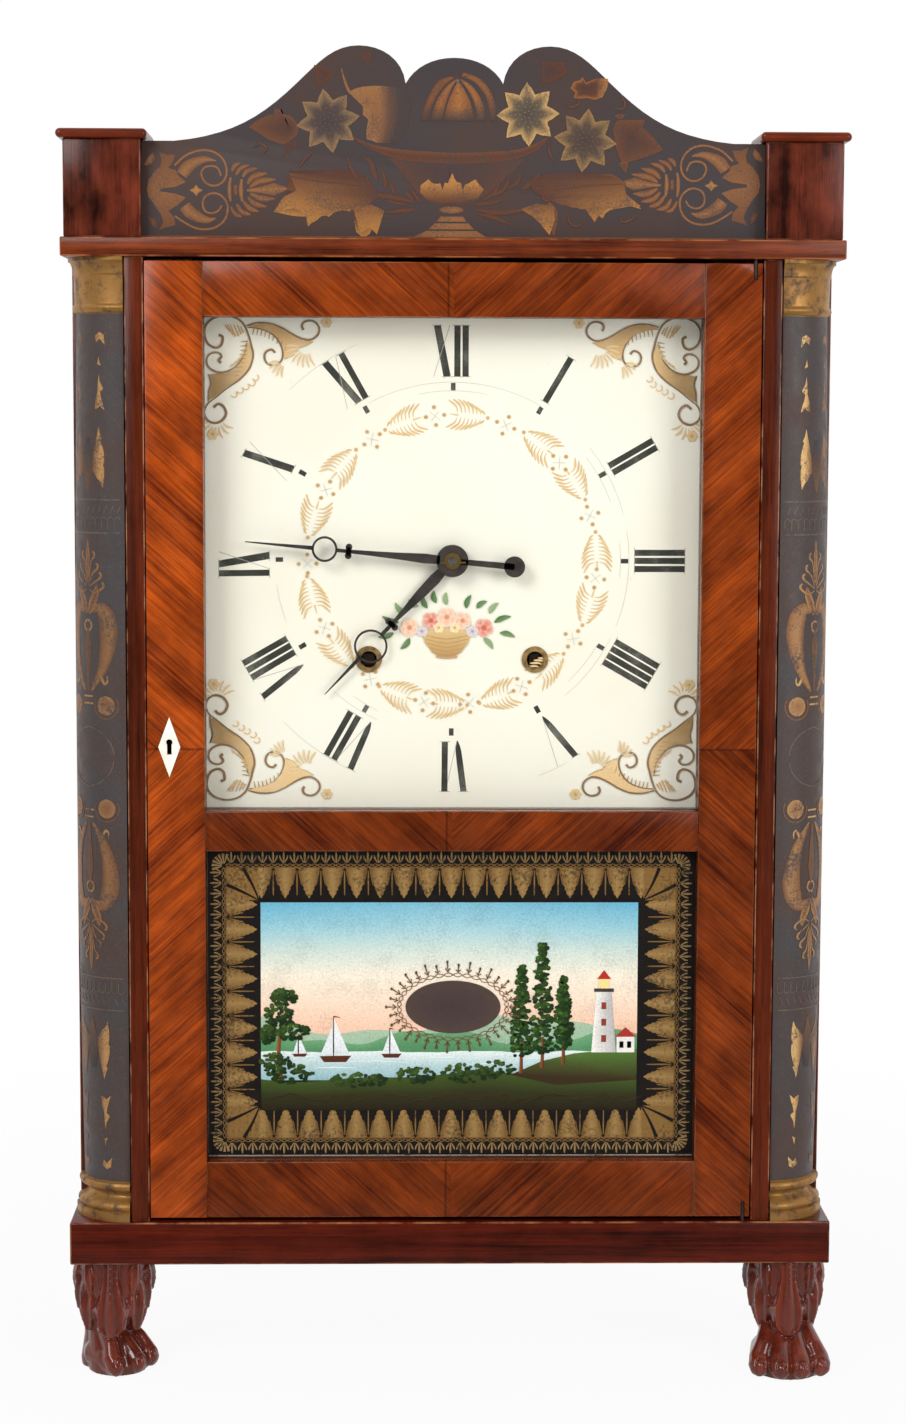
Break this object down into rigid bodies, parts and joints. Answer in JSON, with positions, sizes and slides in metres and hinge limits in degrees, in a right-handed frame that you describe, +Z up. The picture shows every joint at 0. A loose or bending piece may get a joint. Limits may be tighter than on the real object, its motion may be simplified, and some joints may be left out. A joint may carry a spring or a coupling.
{
  "type": "quarter column shelf clock",
  "caption": "Weight-driven shelf clock with a hinged glazed door, quarter-round corner columns, scrolled crest and paw feet, and a wooden movement.",
  "frame": {"origin": "on the surface that the feet stand on, under the middle of the box that holds the whole clock", "axes": "+Z up, the dial faces -Y, and +X is to the right as seen from the front"},
  "size_m": [0.4358, 0.1359, 0.7463],
  "materials": {
    "stained_mahogany": "dark red stained and varnished",
    "mahogany_veneer": "figured veneer under varnish",
    "carved_mahogany": "carved, stained and glossy",
    "bronze_stencilled_wood": "black paint stencilled in bronze powder, worn",
    "pine": "planed and bare",
    "hardwood": "smooth cherry and maple",
    "dial_paint": "painted white with gilt corners",
    "bone": "polished bone",
    "brass": "polished, aged",
    "iron": "dark wrought iron",
    "cast_iron": "rough, black",
    "steel": "bright steel strip",
    "blued_steel": "blackened steel",
    "bell_metal": "dark cast metal",
    "clear_glass": "clear, old and slightly wavy",
    "painted_glass": "glass painted on its back",
    "cord": "twisted cord"
  },
  "bodies": {
    "case": {"base_slab": "stained_mahogany", "cornice_board": "mahogany_veneer", "case_side_left": "stained_mahogany", "case_side_right": "stained_mahogany", "back_board": "pine", "front_stile_left": "stained_mahogany", "front_stile_right": "stained_mahogany", "column_left": "bronze_stencilled_wood", "column_right": "bronze_stencilled_wood", "plinth_blocks": "mahogany_veneer", "plinth_caps": "mahogany_veneer", "crest_board": "bronze_stencilled_wood", "paw_foot_left": "carved_mahogany", "paw_foot_right": "carved_mahogany", "rear_feet": "carved_mahogany", "case_battens": "pine", "dial_board": "dial_paint", "dial_grommets": "brass", "iron_fittings": "iron", "front_plate": "hardwood", "back_plate": "hardwood", "bell": "bell_metal", "weight_cords": "cord", "drop_cord_time": "cord", "drop_cord_strike": "cord"},
    "door": {"door_stile_left": "mahogany_veneer", "door_stile_right": "mahogany_veneer", "door_rails": "mahogany_veneer", "dial_glass": "clear_glass", "tablet_glass": "painted_glass", "glazing_beads": "stained_mahogany", "escutcheon": "bone", "door_lock": "iron", "door_pivots": "iron"},
    "bolt": {"lock_bolt": "brass"},
    "button_left": {"turn_button_left": "pine"},
    "button_right": {"turn_button_right": "pine"},
    "minute": {"minute_hand": "blued_steel", "minute_arbor": "hardwood"},
    "hour": {"hour_hand": "blued_steel", "hour_wheel": "hardwood"},
    "motion": {"minute_wheel": "hardwood"},
    "time_great": {"time_great_wheel": "hardwood"},
    "second": {"second_wheel": "hardwood"},
    "third": {"third_wheel": "hardwood"},
    "escape": {"escape_wheel": "brass"},
    "verge": {"verge": "steel"},
    "pendulum": {"pendulum_rod": "steel", "pendulum_bob": "brass"},
    "strike_great": {"strike_great_wheel": "hardwood"},
    "pin": {"pin_wheel": "hardwood"},
    "lock": {"lock_wheel": "hardwood"},
    "fly": {"fly": "hardwood"},
    "hammer": {"hammer": "iron"},
    "drum_time": {"winding_drum_time": "hardwood"},
    "drum_strike": {"winding_drum_strike": "hardwood"},
    "weight_time": {"weight_time": "cast_iron"},
    "weight_strike": {"weight_strike": "cast_iron"},
    "pulley_time": {"pulley_time": "hardwood"},
    "pulley_strike": {"pulley_strike": "hardwood"}
  },
  "joints": [
    {"name": "door_hinge", "type": "hinge", "parent": "case", "child": "door", "pos_m": [0.1663, -0.0468, 0.089], "axis": [0, 0, 1], "range_deg": [0, 110]},
    {"name": "bolt_slide", "type": "slide", "parent": "door", "child": "bolt", "axis": [-1, 0, 0], "range_m": [0, 0.006]},
    {"name": "button_left_turn", "type": "hinge", "parent": "case", "child": "button_left", "pos_m": [-0.156, -0.0245, 0.4636], "axis": [0, 1, 0], "range_deg": [0, 90]},
    {"name": "button_right_turn", "type": "hinge", "parent": "case", "child": "button_right", "pos_m": [0.156, -0.0245, 0.4636], "axis": [0, 1, 0], "range_deg": [0, 90]},
    {"name": "minute_spin", "type": "hinge", "parent": "case", "child": "minute", "pos_m": [0, -0.01, 0.4636], "axis": [0, 1, 0], "continuous": true},
    {"name": "hour_spin", "type": "hinge", "parent": "case", "child": "hour", "pos_m": [0, -0.0195, 0.4636], "axis": [0, 1, 0], "continuous": true},
    {"name": "motion_spin", "type": "hinge", "parent": "case", "child": "motion", "pos_m": [0.02882, -0.01, 0.47193], "axis": [0, 1, 0], "continuous": true},
    {"name": "second_spin", "type": "hinge", "parent": "case", "child": "second", "pos_m": [0.05001, 0.01, 0.4507], "axis": [0, 1, 0], "continuous": true},
    {"name": "time_great_spin", "type": "hinge", "parent": "case", "child": "time_great", "pos_m": [0.047, 0.01, 0.4076], "axis": [0, 1, 0], "continuous": true},
    {"name": "third_spin", "type": "hinge", "parent": "case", "child": "third", "pos_m": [0.01067, 0.01, 0.43658], "axis": [0, 1, 0], "continuous": true},
    {"name": "escape_spin", "type": "hinge", "parent": "case", "child": "escape", "pos_m": [0, 0.01, 0.4066], "axis": [0, 1, 0], "continuous": true},
    {"name": "pendulum_swing", "type": "hinge", "parent": "case", "child": "pendulum", "pos_m": [0, -0.0174, 0.4306], "axis": [0, 1, 0], "range_deg": [-4.5, 4.5]},
    {"name": "verge_swing", "type": "hinge", "parent": "case", "child": "verge", "pos_m": [0, -0.014, 0.4306], "axis": [0, 1, 0], "range_deg": [-4.5, 4.5]},
    {"name": "pin_spin", "type": "hinge", "parent": "case", "child": "pin", "pos_m": [-0.05001, 0.01, 0.4507], "axis": [0, 1, 0], "continuous": true},
    {"name": "strike_great_spin", "type": "hinge", "parent": "case", "child": "strike_great", "pos_m": [-0.047, 0.01, 0.4076], "axis": [0, 1, 0], "continuous": true},
    {"name": "lock_spin", "type": "hinge", "parent": "case", "child": "lock", "pos_m": [-0.03101, 0.01, 0.4836], "axis": [0, 1, 0], "continuous": true},
    {"name": "fly_spin", "type": "hinge", "parent": "case", "child": "fly", "pos_m": [-0.00494, 0.01, 0.50186], "axis": [0, 1, 0], "continuous": true},
    {"name": "hammer_swing", "type": "hinge", "parent": "case", "child": "hammer", "pos_m": [-0.09301, 0.01, 0.4657], "axis": [0, 1, 0], "range_deg": [0, 8]},
    {"name": "weight_time_slide", "type": "slide", "parent": "case", "child": "weight_time", "axis": [0, 0, 1], "range_m": [0, 0.33], "deforming": ["drop_cord_time"]},
    {"name": "weight_strike_slide", "type": "slide", "parent": "case", "child": "weight_strike", "axis": [0, 0, 1], "range_m": [0, 0.33], "deforming": ["drop_cord_strike"]},
    {"name": "drum_time_turn", "type": "hinge", "parent": "case", "child": "drum_time", "pos_m": [0.047, 0.01, 0.4076], "axis": [0, 1, 0], "range_deg": [0, 971]},
    {"name": "drum_strike_turn", "type": "hinge", "parent": "case", "child": "drum_strike", "pos_m": [-0.047, 0.01, 0.4076], "axis": [0, 1, 0], "range_deg": [-971, 0]},
    {"name": "pulley_time_turn", "type": "hinge", "parent": "case", "child": "pulley_time", "pos_m": [0.1495, 0.016, 0.605], "axis": [0, 1, 0], "range_deg": [-1183, 0]},
    {"name": "pulley_strike_turn", "type": "hinge", "parent": "case", "child": "pulley_strike", "pos_m": [-0.1495, 0.016, 0.605], "axis": [0, 1, 0], "range_deg": [0, 1183]}
  ],
  "couplings": [
    {"joint": "hour_spin", "follows": "minute_spin", "ratio": 0.083333},
    {"joint": "motion_spin", "follows": "minute_spin", "ratio": -0.33333},
    {"joint": "second_spin", "follows": "minute_spin", "ratio": 1},
    {"joint": "time_great_spin", "follows": "minute_spin", "ratio": -0.090909},
    {"joint": "third_spin", "follows": "minute_spin", "ratio": -10},
    {"joint": "escape_spin", "follows": "minute_spin", "ratio": 85.714},
    {"joint": "verge_swing", "follows": "pendulum_swing", "ratio": 1},
    {"joint": "strike_great_spin", "follows": "pin_spin", "ratio": -0.090909},
    {"joint": "lock_spin", "follows": "pin_spin", "ratio": -9},
    {"joint": "fly_spin", "follows": "pin_spin", "ratio": 77.143},
    {"joint": "drum_time_turn", "follows": "weight_time_slide", "rad_per_m": 51.282},
    {"joint": "drum_strike_turn", "follows": "weight_strike_slide", "rad_per_m": -51.282},
    {"joint": "pulley_time_turn", "follows": "weight_time_slide", "rad_per_m": -62.5},
    {"joint": "pulley_strike_turn", "follows": "weight_strike_slide", "rad_per_m": 62.5}
  ]
}
